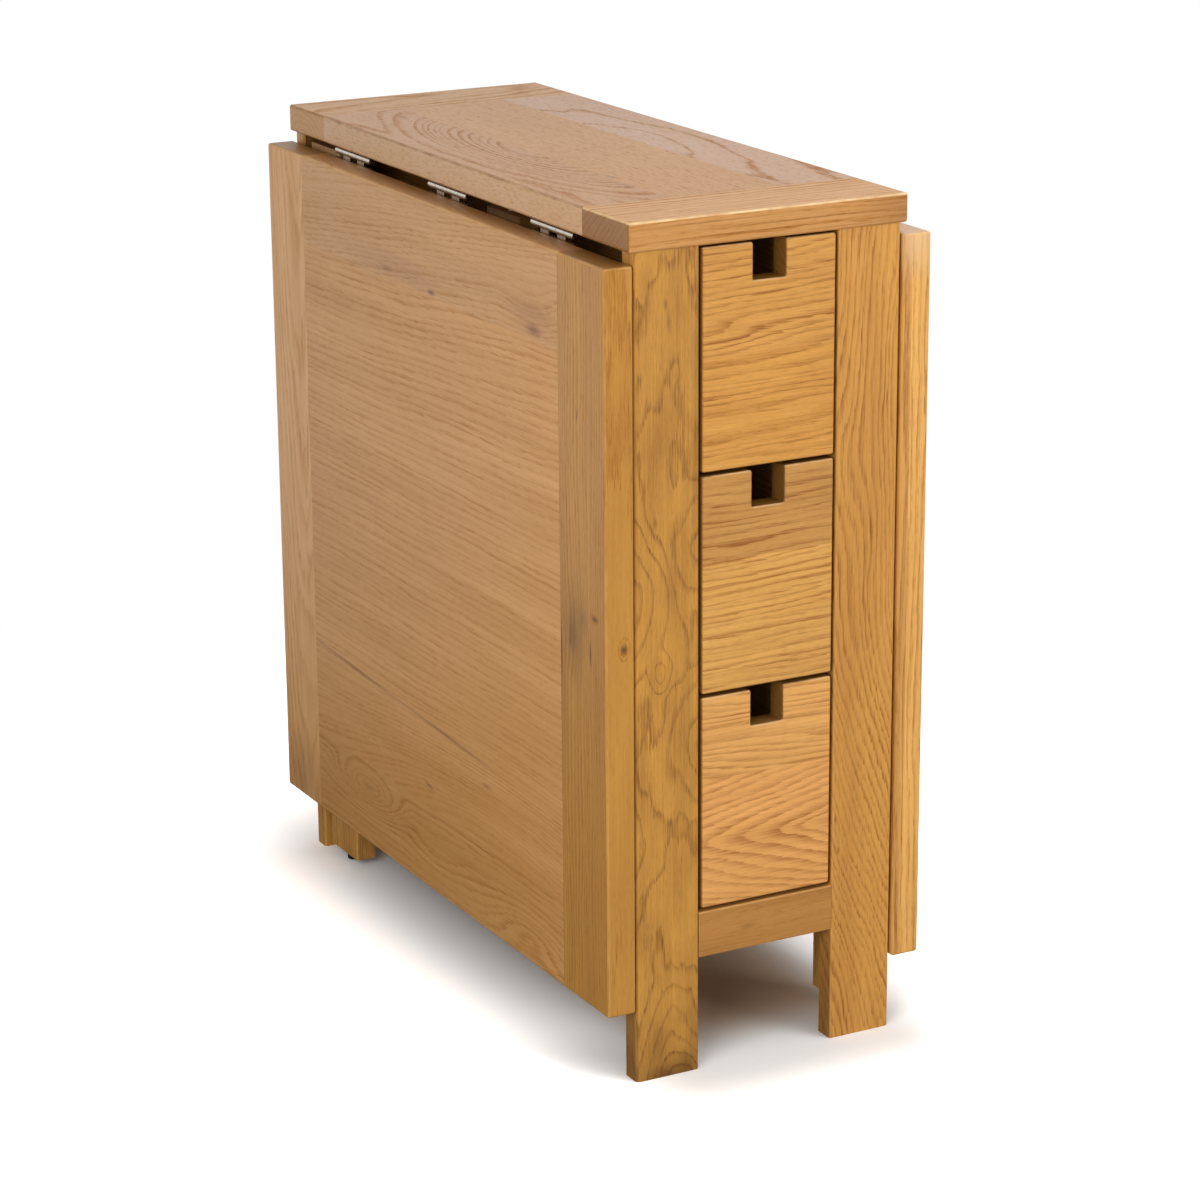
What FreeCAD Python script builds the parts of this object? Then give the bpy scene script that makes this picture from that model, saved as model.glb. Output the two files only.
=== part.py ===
import FreeCAD, Part
import os

# Gateleg dining table, folded. Millimetres: X across, Y along, Z up from the floor, drawers facing -Y.

# Overall sizes
TABLE_HEIGHT = 750.0
TOP_LENGTH = 678.0
TOP_WIDTH = 265.0
BOARD_THICK = 25.0
LEAF_EXTRA = 2.0        # a leaf is this much thicker than the fixed top
LEAF_FLOOR = 66.0       # floor to the lower edge of a hanging leaf
LEAF_GAP = 1.5          # post to the inner face of a hanging leaf
SEAM = 1.0              # fixed top to the edge of a raised leaf
BOARD_ARRIS = 2.5

# End boards across the grain of the top and leaves
END_BOARD = 80.0
TONGUE = 14.0
TONGUE_THICK = 8.0
TONGUE_STOP = 20.0      # the tongue ends this far inside the long edges
SHOULDER_GAP = 0.3      # hairline between a panel and its end boards

# Posts and rails
POST_WIDTH = 61.0
POST_THICK = 20.5
POST_ARRIS = 2.0
POST_ROUND = 4.0        # outer arris at the end of the table
SIDE_OVERHANG = 5.0
END_OVERHANG = 2.0
RAIL_FLOOR = 103.5
RAIL_HEIGHT = 41.5
RAIL_THICK = 18.0
RAIL_ARRIS = 1.5
RAIL_SET = 1.0          # long rail behind the closed gate
PANEL_THICK = 12.0
REAR_PANEL_SET = 3.0    # rear panel behind the rear face of the posts
DOWEL_R = 4.0
DOWEL_DEPTH = 14.0      # dowel in each of the two pieces it joins
DOWEL_SPREAD = 0.25     # dowels sit at a quarter of the joint either side of its middle

# Drawers
DRAWER_GAP = 3.3        # under each drawer front
DRAWER_TOP_GAP = 2.0    # over the top drawer front
DRAWER_SIDE_GAP = 2.7   # drawer front to post
DRAWER_LENGTH = 420.0
FRONT_THICK = 20.0
FRONT_ARRIS = 2.0
FRONT_CORNER = 2.5      # corners of a drawer front, seen from the front
NOTCH_WIDTH = 31.0
NOTCH_DEPTH = 32.0
NOTCH_ROUND = 1.5       # lower corners of the notch
BOX_GAP = 4.0           # side panel to drawer side
BOX_LOW = 6.0           # drawer side above the lower edge of its front
BOX_HIGH = 14.0         # drawer side below the upper edge of its front
BOX_THICK = 12.0
BOX_HOUSE = 6.0         # drawer side let into its front
BOTTOM_THICK = 5.0
BOTTOM_UP = 6.0         # drawer bottom above the lower edge of the sides
BOTTOM_GROOVE = 5.0
BACK_DADO = 3.0
BACK_SET = 8.0          # drawer back inside the rear end of the sides
RUNNER_HEIGHT = 12.0
RUNNER_GROOVE = 6.0
RUNNER_GAP = 0.5        # runner in its groove, and runner to drawer front
RUNNER_REST = 0.3       # under and over the runner
RUNNER_EXTRA = 15.0     # runner past the rear end of a closed drawer

# Hinges between the top and the leaves
HINGE_LENGTH = 76.0
HINGE_MARGIN = 5.0      # outer hinge to the gate leg beside it
KNUCKLES = 5
KNUCKLE_R = 3.4
KNUCKLE_CLEAR = 0.35    # knuckle under the fixed top
KNUCKLE_GAP = 0.4
HINGE_PIN_R = 2.0
PIN_HEAD = 0.8          # hinge pin past each end of its knuckles
RUN_FIT = 0.05          # radial running fit of a knuckle or a gate on its pin
PLATE_WIDTH = 30.0
PLATE_THICK = 2.1
PLATE_CLEAR = 0.5       # plate to the knuckles of the other plate
SCREW_R = 1.75
SCREW_HEAD_R = 3.4
SCREW_SINK = 1.6
SCREW_DEPTH = 14.0
SCREW_FIT = 0.05
SCREW_COUNT = 3
SCREW_PITCH = 26.0
SCREW_ROW = 20.0        # outer screws from the hinge axis
SCREW_STAGGER = 7.0     # middle screw nearer the axis
SLOT_WIDTH = 0.8
SLOT_DEPTH = 0.7

# Gates
GATE_INSET = 1.5        # gate inside the outer face of the posts
GATE_DROP = 6.0         # gate under the fixed top
GATE_END_GAP = 12.5     # gate leg to the post beside it
GATE_LIFT = 2.0         # pivot stile over its block
GATE_RAIL_LOW = 20.0    # lower rail over the foot of the stile
GATE_RAIL_DROP = 38.0   # upper rail under the head of the stile
TENON_LENGTH = 26.0
TENON_THICK = 7.0
TENON_SHOULDER = 10.0
PIVOT_R = 4.0
PIVOT_DEPTH = 18.0      # pivot pin in the stile
PIVOT_SET = 14.0        # pivot pin in the top or the block
PIVOT_END = 1.0         # free space over the end of a pivot pin
WASHER_R = 10.0
WASHER_FIT = 0.3
WASHER_GAP = 0.4        # washer to the foot of the stile
LEG_FOOT = 9.0
GLIDE_R = 6.5
GLIDE_GAP = 0.4         # glide over the floor
GLIDE_ROUND = 1.2
GLIDE_PEG_R = 2.5
GLIDE_PEG = 18.0

# Derived positions
HALF_LENGTH = TOP_LENGTH / 2
TOP_EDGE = TOP_WIDTH / 2
UNDER_TOP = TABLE_HEIGHT - BOARD_THICK
POST_OUT = TOP_EDGE - SIDE_OVERHANG
POST_IN = POST_OUT - POST_WIDTH
POST_FACE = HALF_LENGTH - END_OVERHANG
POST_BACK = POST_FACE - POST_THICK
RAIL_TOP = RAIL_FLOOR + RAIL_HEIGHT
LEAF_IN = POST_OUT + LEAF_GAP
LEAF_OUT = LEAF_IN + BOARD_THICK + LEAF_EXTRA
AXIS_DROP = KNUCKLE_R + KNUCKLE_CLEAR
HINGE_Z = UNDER_TOP - AXIS_DROP
HINGE_X = LEAF_OUT - BOARD_THICK - AXIS_DROP
LEAF_TOP = HINGE_Z + HINGE_X - TOP_EDGE - SEAM
GATE_OUT = POST_OUT - GATE_INSET
GATE_IN = GATE_OUT - POST_THICK
GATE_MID = (GATE_OUT + GATE_IN) / 2
GATE_TOP = UNDER_TOP - GATE_DROP
STILE_FOOT = RAIL_TOP + GATE_LIFT
LEG_NEAR = GATE_END_GAP - POST_BACK
LEG_FAR = LEG_NEAR + POST_WIDTH
HINGE_SPACING = -LEG_FAR - HINGE_MARGIN - HINGE_LENGTH / 2
HINGE_PLACES = [-HINGE_SPACING, 0, HINGE_SPACING]
PIVOT_OFFSET = HINGE_SPACING / 2
STILE_NEAR = PIVOT_OFFSET - POST_WIDTH / 2
STILE_FAR = PIVOT_OFFSET + POST_WIDTH / 2
LONG_RAIL_OUT = GATE_IN - RAIL_SET
LONG_RAIL_IN = LONG_RAIL_OUT - RAIL_THICK
FRONT_HALF = POST_IN - DRAWER_SIDE_GAP
FRONT_BACK = FRONT_THICK - POST_FACE
DRAWER_END = DRAWER_LENGTH - POST_FACE
DRAWER_STACK = UNDER_TOP - RAIL_TOP - DRAWER_TOP_GAP
DRAWER_NAMES = ["bottom", "middle", "top"]
DRAWER_COUNT = len(DRAWER_NAMES)
DRAWER_HEIGHT = DRAWER_STACK / DRAWER_COUNT - DRAWER_GAP
BOX_OUT = POST_IN - BOX_GAP
BOX_IN = BOX_OUT - BOX_THICK

ALONG_X = FreeCAD.Vector(1, 0, 0)
ALONG_Y = FreeCAD.Vector(0, 1, 0)
UP = FreeCAD.Vector(0, 0, 1)
CENTRE = FreeCAD.Vector(0, 0, 0)
HALF_TURN = 180
SIDES = (-1, 1)
CLOSE = 1e-6            # two sizes count as equal within this


def block(x0, x1, y0, y1, z0, z1):
    return Part.makeBox(x1 - x0, y1 - y0, z1 - z0, FreeCAD.Vector(x0, y0, z0))


def rod(radius, start, direction, length):
    return Part.makeCylinder(radius, length, start, direction)


def turned(shape):
    """The same piece on the left side: half a turn about the middle of the table."""
    copy = shape.copy()
    copy.rotate(CENTRE, UP, HALF_TURN)
    return copy


def runs_along(edge, direction):
    first, last = edge.Vertexes[0].Point, edge.Vertexes[-1].Point
    return abs((last - first).normalize().dot(direction)) > 1 - CLOSE


def eased_along(shape, radius, direction):
    return shape.makeFillet(radius, [edge for edge in shape.Edges if runs_along(edge, direction)])


def eased_all(shape, radius):
    return shape.makeFillet(radius, shape.Edges)


def save(name, shapes):
    pieces = shapes if isinstance(shapes, list) else [shapes]
    solids = [solid for piece in pieces for solid in piece.Solids]
    shape = solids[0] if len(solids) == 1 else Part.makeCompound(solids)
    shape.exportStep(os.path.join("parts", name + ".step"))


# Dowels: each is a middle point on the joint and the direction it runs in.

def dowel(point, direction):
    return rod(DOWEL_R, point - direction * DOWEL_DEPTH, direction, 2 * DOWEL_DEPTH)


def post_dowels(side, end):
    """Two dowels from the head of a post into the top."""
    middle = side * (POST_IN + POST_WIDTH / 2)
    spread = POST_WIDTH * DOWEL_SPREAD
    y = end * (POST_FACE - POST_THICK / 2)
    return [dowel(FreeCAD.Vector(x, y, UNDER_TOP), UP) for x in (middle - spread, middle + spread)]


def rail_heights():
    middle = RAIL_FLOOR + RAIL_HEIGHT / 2
    return [middle - RAIL_HEIGHT * DOWEL_SPREAD, middle + RAIL_HEIGHT * DOWEL_SPREAD]


def cross_rail_dowels(side, end):
    y = end * (POST_FACE - RAIL_THICK / 2)
    return [dowel(FreeCAD.Vector(side * POST_IN, y, z), ALONG_X) for z in rail_heights()]


def long_rail_dowels(side, end):
    x = side * (LONG_RAIL_IN + RAIL_THICK / 2)
    return [dowel(FreeCAD.Vector(x, end * POST_BACK, z), ALONG_Y) for z in rail_heights()]


def block_dowels(side):
    y = side * PIVOT_OFFSET
    spread = POST_WIDTH * DOWEL_SPREAD
    z = RAIL_FLOOR + RAIL_HEIGHT / 2
    x = side * LONG_RAIL_OUT
    return [dowel(FreeCAD.Vector(x, place, z), ALONG_X) for place in (y - spread, y + spread)]


def all_post_dowels():
    return [peg for side in SIDES for end in SIDES for peg in post_dowels(side, end)]


def all_rail_dowels():
    pegs = [peg for side in SIDES for end in SIDES for peg in cross_rail_dowels(side, end)]
    pegs += [peg for side in SIDES for end in SIDES for peg in long_rail_dowels(side, end)]
    return pegs + [peg for side in SIDES for peg in block_dowels(side)]


# Boards with tongued end boards: the fixed top and the leaves.

def framed_board(board, tongues):
    """Cut an eased board into a panel and two end boards joined by tongues.

    tongues gives the x0, x1, z0, z1 of the tongue.
    """
    x0, x1, z0, z1 = tongues
    box = board.BoundBox
    seam = HALF_LENGTH - END_BOARD
    edge = seam - SHOULDER_GAP
    panel = board.common(block(box.XMin, box.XMax, -edge, edge, box.ZMin, box.ZMax))
    tongue = block(x0, x1, -seam - TONGUE, seam + TONGUE, z0, z1)
    front = board.common(block(box.XMin, box.XMax, -HALF_LENGTH, -seam, box.ZMin, box.ZMax)).cut(tongue)
    rear = board.common(block(box.XMin, box.XMax, seam, HALF_LENGTH, box.ZMin, box.ZMax)).cut(tongue)
    return panel.fuse(tongue).removeSplitter(), front, rear


def fixed_top():
    slab = block(-TOP_EDGE, TOP_EDGE, -HALF_LENGTH, HALF_LENGTH, UNDER_TOP, TABLE_HEIGHT)
    board = eased_all(slab, BOARD_ARRIS)
    margin = (BOARD_THICK - TONGUE_THICK) / 2
    tongues = (TONGUE_STOP - TOP_EDGE, TOP_EDGE - TONGUE_STOP, UNDER_TOP + margin, TABLE_HEIGHT - margin)
    panel, front, rear = framed_board(board, tongues)
    for place in HINGE_PLACES:
        for hole in top_screw_holes(place):
            panel = panel.cut(hole).cut(turned(hole))
    pin = top_pivot_pin()
    panel = panel.cut(pin).cut(turned(pin))
    for side in SIDES:
        for peg in post_dowels(side, -1):
            front = front.cut(peg)
        for peg in post_dowels(side, 1):
            rear = rear.cut(peg)
    return panel, front, rear


def leaf():
    """The right leaf, hanging."""
    slab = block(LEAF_IN, LEAF_OUT, -HALF_LENGTH, HALF_LENGTH, LEAF_FLOOR, LEAF_TOP)
    board = eased_all(slab, BOARD_ARRIS)
    margin = (LEAF_OUT - LEAF_IN - TONGUE_THICK) / 2
    tongues = (LEAF_IN + margin, LEAF_OUT - margin, LEAF_FLOOR + TONGUE_STOP, LEAF_TOP - TONGUE_STOP)
    panel, front, rear = framed_board(board, tongues)
    for place in HINGE_PLACES:
        for hole in leaf_screw_holes(place):
            panel = panel.cut(hole)
    return panel, front, rear


# Posts, rails and panels of the base.

def uprights_at(shape, corners):
    """The vertical edges of a post that stand at the given corners of its plan."""
    middles = [FreeCAD.Vector(x, y, UNDER_TOP / 2) for x, y in corners]
    return [edge for edge in shape.Edges for middle in middles if edge.CenterOfMass.isEqual(middle, CLOSE)]


def post(side, end):
    x_in, x_out = side * POST_IN, side * POST_OUT
    y_in, y_out = end * POST_BACK, end * POST_FACE
    shape = block(min(x_in, x_out), max(x_in, x_out), min(y_in, y_out), max(y_in, y_out), 0, UNDER_TOP)
    shape = shape.makeFillet(POST_ROUND, uprights_at(shape, [(x_out, y_out)]))
    shape = shape.makeFillet(POST_ARRIS, uprights_at(shape, [(x_in, y_in), (x_in, y_out), (x_out, y_in)]))
    for peg in post_dowels(side, end) + cross_rail_dowels(side, end) + long_rail_dowels(side, end):
        shape = shape.cut(peg)
    return shape


def cross_rail(end):
    y0, y1 = sorted((end * (POST_FACE - RAIL_THICK), end * POST_FACE))
    shape = eased_along(block(-POST_IN, POST_IN, y0, y1, RAIL_FLOOR, RAIL_TOP), RAIL_ARRIS, ALONG_X)
    for side in SIDES:
        for peg in cross_rail_dowels(side, end):
            shape = shape.cut(peg)
    return shape


def long_rail():
    """The right long rail, which the closed gate leg stops against."""
    box = block(LONG_RAIL_IN, LONG_RAIL_OUT, -POST_BACK, POST_BACK, RAIL_FLOOR, RAIL_TOP)
    shape = eased_along(box, RAIL_ARRIS, ALONG_Y)
    for peg in long_rail_dowels(1, -1) + long_rail_dowels(1, 1) + block_dowels(1):
        shape = shape.cut(peg)
    return shape


def side_panel():
    return block(POST_IN, POST_IN + PANEL_THICK, -POST_BACK, POST_BACK, RAIL_FLOOR, UNDER_TOP)


def rear_panel():
    y1 = POST_FACE - REAR_PANEL_SET
    return block(-POST_IN, POST_IN, y1 - PANEL_THICK, y1, RAIL_TOP, UNDER_TOP)


# Drawers

def drawer_floor(index):
    """Height of the lower edge of a drawer front, counted from the bottom drawer."""
    return RAIL_TOP + DRAWER_GAP + index * (DRAWER_HEIGHT + DRAWER_GAP)


def runner_height(index):
    """Height of the middle of a drawer's runners."""
    return drawer_floor(index) + DRAWER_HEIGHT / 2


def drawer_side_box(index):
    low = drawer_floor(index) + BOX_LOW
    high = drawer_floor(index) + DRAWER_HEIGHT - BOX_HIGH
    return block(BOX_IN, BOX_OUT, FRONT_BACK - BOX_HOUSE, DRAWER_END, low, high)


def drawer_bottom(index):
    z0 = drawer_floor(index) + BOX_LOW + BOTTOM_UP
    reach = BOX_IN + BOTTOM_GROOVE
    return block(-reach, reach, FRONT_BACK - BOTTOM_GROOVE, DRAWER_END, z0, z0 + BOTTOM_THICK)


def drawer_back(index):
    low = drawer_floor(index) + BOX_LOW + BOTTOM_UP + BOTTOM_THICK
    high = drawer_floor(index) + DRAWER_HEIGHT - BOX_HIGH
    y1 = DRAWER_END - BACK_SET
    reach = BOX_IN + BACK_DADO
    return block(-reach, reach, y1 - BOX_THICK, y1, low, high)


def at_height(edge, heights):
    return any(abs(edge.CenterOfMass.z - height) < CLOSE for height in heights)


def drawer_front(index):
    z0 = drawer_floor(index)
    z1 = z0 + DRAWER_HEIGHT
    shape = block(-FRONT_HALF, FRONT_HALF, -POST_FACE, FRONT_BACK, z0, z1)
    half = NOTCH_WIDTH / 2
    notch = block(-half, half, -HALF_LENGTH, HALF_LENGTH, z1 - NOTCH_DEPTH, TABLE_HEIGHT)
    floor_edges = [edge for edge in notch.Edges if runs_along(edge, ALONG_Y) and edge.BoundBox.ZMax < z1]
    shape = shape.cut(notch.makeFillet(NOTCH_ROUND, floor_edges))
    corners = [edge for edge in shape.Edges if runs_along(edge, ALONG_Y) and at_height(edge, (z0, z1))]
    shape = shape.makeFillet(FRONT_CORNER, corners)
    outline = [edge for edge in shape.Edges if abs(edge.BoundBox.YMax + POST_FACE) < CLOSE]
    shape = shape.makeFillet(FRONT_ARRIS, outline)
    side = drawer_side_box(index)
    mirrored = side.mirror(CENTRE, ALONG_X)
    return shape.cut(side).cut(mirrored).cut(drawer_bottom(index))


def drawer_side(index):
    """The right drawer side, with its runner groove."""
    middle = runner_height(index)
    half = RUNNER_HEIGHT / 2 + RUNNER_REST
    groove = block(BOX_OUT - RUNNER_GROOVE, BOX_OUT, FRONT_BACK, DRAWER_END, middle - half, middle + half)
    return drawer_side_box(index).cut(groove).cut(drawer_bottom(index)).cut(drawer_back(index))


def runner(index):
    """The right runner of one drawer."""
    middle = runner_height(index)
    half = RUNNER_HEIGHT / 2
    inner = BOX_OUT - RUNNER_GROOVE + RUNNER_GAP
    start = FRONT_BACK + RUNNER_GAP
    end = DRAWER_END + RUNNER_EXTRA
    return block(inner, POST_IN, start, end, middle - half, middle + half)


# Butt hinges, right side

def knuckle_spans(place):
    """Start and length of each knuckle of a hinge, from its front end."""
    pitch = HINGE_LENGTH / KNUCKLES
    start = place - HINGE_LENGTH / 2
    return [(start + pitch * count, pitch - KNUCKLE_GAP) for count in range(KNUCKLES)]


def hinge_point(y):
    return FreeCAD.Vector(HINGE_X, y, HINGE_Z)


def hinge_plate(place, plate, web, spans, bore):
    """One plate with its knuckles.

    plate and web give x0, x1, z0, z1 of the flat plate and of the strip that joins it to its knuckles.
    """
    half = HINGE_LENGTH / 2
    px0, px1, pz0, pz1 = plate
    wx0, wx1, wz0, wz1 = web
    shape = block(px0, px1, place - half, place + half - KNUCKLE_GAP, pz0, pz1)
    for start, length in spans:
        shape = shape.fuse(block(wx0, wx1, start, start + length, wz0, wz1))
        shape = shape.fuse(rod(KNUCKLE_R, hinge_point(start), ALONG_Y, length))
    shape = shape.cut(rod(bore, hinge_point(place - HINGE_LENGTH), ALONG_Y, 2 * HINGE_LENGTH))
    return shape.removeSplitter()


def top_hinge_plate(place):
    reach = KNUCKLE_R + PLATE_CLEAR
    low = UNDER_TOP - PLATE_THICK
    plate = (HINGE_X - PLATE_WIDTH, HINGE_X - reach, low, UNDER_TOP)
    web = (HINGE_X - reach, HINGE_X, low, UNDER_TOP)
    shape = hinge_plate(place, plate, web, knuckle_spans(place)[0::2], HINGE_PIN_R)
    for point in top_screw_points(place):
        shape = shape.cut(screw_hole(point, UP))
    return shape


def leaf_hinge_plate(place):
    """The flat plate ends at the leaf's upper edge; its knuckles stand above with open slots between them."""
    reach = HINGE_Z - LEAF_TOP
    inner = LEAF_IN - PLATE_THICK
    plate = (inner, LEAF_IN, HINGE_Z - PLATE_WIDTH, HINGE_Z - reach)
    web = (inner, LEAF_IN, HINGE_Z - reach, HINGE_Z)
    shape = hinge_plate(place, plate, web, knuckle_spans(place)[1::2], HINGE_PIN_R + RUN_FIT)
    for point in leaf_screw_points(place):
        shape = shape.cut(screw_hole(point, ALONG_X))
    return shape


def hinge_pin(place):
    start = place - HINGE_LENGTH / 2 - PIN_HEAD
    return rod(HINGE_PIN_R, hinge_point(start), ALONG_Y, HINGE_LENGTH - KNUCKLE_GAP + 2 * PIN_HEAD)


def screw_steps():
    """Offset along the hinge and distance from its axis for each screw of a plate."""
    middle = SCREW_COUNT // 2
    steps = []
    for count in range(SCREW_COUNT):
        distance = SCREW_ROW - (SCREW_STAGGER if count == middle else 0)
        steps.append(((count - middle) * SCREW_PITCH, distance))
    return steps


def top_screw_points(place):
    low = UNDER_TOP - PLATE_THICK
    return [FreeCAD.Vector(HINGE_X - away, place + step, low) for step, away in screw_steps()]


def leaf_screw_points(place):
    inner = LEAF_IN - PLATE_THICK
    return [FreeCAD.Vector(inner, place + step, HINGE_Z - away) for step, away in screw_steps()]


def screw_head(point, direction):
    return Part.makeCone(SCREW_HEAD_R, SCREW_R, SCREW_SINK, point, direction)


def screw_hole(point, direction):
    shank = rod(SCREW_R + SCREW_FIT, point, direction, SCREW_DEPTH + SCREW_R)
    return shank.fuse(screw_head(point, direction))


def screw(point, direction):
    """A countersunk screw with a straight slot along the hinge."""
    shape = screw_head(point, direction).fuse(rod(SCREW_R, point, direction, SCREW_DEPTH)).removeSplitter()
    reach = direction * SLOT_DEPTH + ALONG_Y * SCREW_HEAD_R + direction.cross(ALONG_Y) * (SLOT_WIDTH / 2)
    x, y, z = [sorted(pair) for pair in zip(point - reach, point + reach)]
    return shape.cut(block(*x, *y, *z))


def top_screw_holes(place):
    return [screw_hole(point, UP) for point in top_screw_points(place)]


def leaf_screw_holes(place):
    return [screw_hole(point, ALONG_X) for point in leaf_screw_points(place)]


# Gate, right side: its leg stands beside the front post and its pivot is behind the middle.

def pivot_point(z):
    return FreeCAD.Vector(GATE_MID, PIVOT_OFFSET, z)


def top_pivot_pin():
    low = GATE_TOP - PIVOT_DEPTH
    return rod(PIVOT_R, pivot_point(low), UP, UNDER_TOP + PIVOT_SET - low)


def foot_pivot_pin():
    low = RAIL_TOP - PIVOT_SET
    return rod(PIVOT_R, pivot_point(low), UP, STILE_FOOT + PIVOT_DEPTH - low)


def pivot_block():
    box = block(LONG_RAIL_OUT, GATE_OUT, STILE_NEAR, STILE_FAR, RAIL_FLOOR, RAIL_TOP)
    shape = box.cut(foot_pivot_pin())
    for peg in block_dowels(1):
        shape = shape.cut(peg)
    return shape


def pivot_washer():
    thick = GATE_LIFT - WASHER_GAP
    ring = rod(WASHER_R, pivot_point(RAIL_TOP), UP, thick)
    return ring.cut(rod(PIVOT_R + WASHER_FIT, pivot_point(RAIL_TOP), UP, thick))


def gate_rail_heights():
    return [STILE_FOOT + GATE_RAIL_LOW, GATE_TOP - GATE_RAIL_DROP - POST_WIDTH]


def gate_tenons(low):
    half = TENON_THICK / 2
    z0 = low + TENON_SHOULDER
    z1 = low + POST_WIDTH - TENON_SHOULDER
    return block(GATE_MID - half, GATE_MID + half, LEG_FAR - TENON_LENGTH, STILE_NEAR + TENON_LENGTH, z0, z1)


def gate_rail(low):
    box = block(GATE_IN, GATE_OUT, LEG_FAR, STILE_NEAR, low, low + POST_WIDTH)
    return eased_along(box, RAIL_ARRIS, ALONG_Y).fuse(gate_tenons(low)).removeSplitter()


def gate_stile():
    box = block(GATE_IN, GATE_OUT, STILE_NEAR, STILE_FAR, STILE_FOOT, GATE_TOP)
    shape = eased_along(box, POST_ARRIS, UP)
    for low in gate_rail_heights():
        shape = shape.cut(gate_tenons(low))
    depth = PIVOT_DEPTH + PIVOT_END
    shape = shape.cut(rod(PIVOT_R + RUN_FIT, pivot_point(STILE_FOOT), UP, depth))
    return shape.cut(rod(PIVOT_R + RUN_FIT, pivot_point(GATE_TOP - depth), UP, depth))


def glide():
    middle = FreeCAD.Vector(GATE_MID, (LEG_NEAR + LEG_FAR) / 2, GLIDE_GAP)
    disc = rod(GLIDE_R, middle, UP, LEG_FOOT - GLIDE_GAP)
    foot = [edge for edge in disc.Edges if edge.BoundBox.ZMax < LEG_FOOT / 2]
    disc = disc.makeFillet(GLIDE_ROUND, foot)
    peg = rod(GLIDE_PEG_R, middle, UP, LEG_FOOT - GLIDE_GAP + GLIDE_PEG)
    return disc.fuse(peg).removeSplitter()


def gate_leg():
    box = block(GATE_IN, GATE_OUT, LEG_NEAR, LEG_FAR, LEG_FOOT, GATE_TOP)
    shape = eased_along(box, POST_ARRIS, UP)
    for low in gate_rail_heights():
        shape = shape.cut(gate_tenons(low))
    return shape.cut(glide())


# Saving each piece

def save_pair(name, shapes):
    """Save a right-hand piece and its left-hand twin."""
    pieces = shapes if isinstance(shapes, list) else [shapes]
    save(name + "_right", pieces)
    save(name + "_left", [turned(piece) for piece in pieces])


def save_on_both_sides(name, pieces):
    save(name, pieces + [turned(piece) for piece in pieces])


def save_base():
    panel, front, rear = fixed_top()
    save("top_panel", panel)
    save("top_end_front", front)
    save("top_end_rear", rear)
    for end, end_name in ((-1, "front"), (1, "rear")):
        save("rail_" + end_name, cross_rail(end))
        for side, side_name in ((-1, "left"), (1, "right")):
            save("post_" + end_name + "_" + side_name, post(side, end))
    save_pair("rail_long", long_rail())
    save_pair("side_panel", side_panel())
    save("rear_panel", rear_panel())
    strips = [runner(index) for index in range(DRAWER_COUNT)]
    save("drawer_runners", strips + [strip.mirror(CENTRE, ALONG_X) for strip in strips])
    save("dowels_top", all_post_dowels())
    save("dowels_rails", all_rail_dowels())


def save_hinges():
    save_on_both_sides("hinge_plates_top", [top_hinge_plate(place) for place in HINGE_PLACES])
    save_on_both_sides("hinge_pins", [hinge_pin(place) for place in HINGE_PLACES])
    screws = [screw(point, UP) for place in HINGE_PLACES for point in top_screw_points(place)]
    save_on_both_sides("hinge_screws_top", screws)
    save_pair("hinge_plates_leaf", [leaf_hinge_plate(place) for place in HINGE_PLACES])
    screws = [screw(point, ALONG_X) for place in HINGE_PLACES for point in leaf_screw_points(place)]
    save_pair("hinge_screws_leaf", screws)


def save_leaves():
    panel, front, rear = leaf()
    save_pair("leaf_panel", panel)
    save("leaf_end_front_right", front)
    save("leaf_end_rear_right", rear)
    save("leaf_end_front_left", turned(rear))
    save("leaf_end_rear_left", turned(front))


def save_gates():
    save_pair("gate_leg", gate_leg())
    save_pair("gate_stile", gate_stile())
    low, high = gate_rail_heights()
    save_pair("gate_rail_low", gate_rail(low))
    save_pair("gate_rail_high", gate_rail(high))
    save_pair("gate_glide", glide())
    save_on_both_sides("pivot_blocks", [pivot_block()])
    save_on_both_sides("pivot_pins", [top_pivot_pin(), foot_pivot_pin()])
    save_on_both_sides("pivot_washers", [pivot_washer()])


def save_drawers():
    for index, name in enumerate(DRAWER_NAMES):
        save("drawer_" + name + "_front", drawer_front(index))
        side = drawer_side(index)
        save("drawer_" + name + "_side_right", side)
        save("drawer_" + name + "_side_left", side.mirror(CENTRE, ALONG_X))
        save("drawer_" + name + "_back", drawer_back(index))
        save("drawer_" + name + "_bottom", drawer_bottom(index))


os.makedirs("parts", exist_ok=True)
save_base()
save_hinges()
save_leaves()
save_gates()
save_drawers()
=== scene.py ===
import logging
import math
from dataclasses import dataclass, replace
from enum import Enum
from typing import Any

import bpy
from mathutils import Matrix, Vector

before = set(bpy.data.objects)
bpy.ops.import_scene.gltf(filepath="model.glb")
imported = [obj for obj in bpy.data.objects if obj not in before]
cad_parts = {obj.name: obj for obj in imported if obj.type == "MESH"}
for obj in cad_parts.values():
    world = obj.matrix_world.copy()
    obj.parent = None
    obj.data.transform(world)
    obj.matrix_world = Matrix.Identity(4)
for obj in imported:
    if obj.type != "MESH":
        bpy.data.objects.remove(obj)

log = logging.getLogger("gateleg_table")

MM = 0.001
IMAGE_SIDE = 1200

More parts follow.
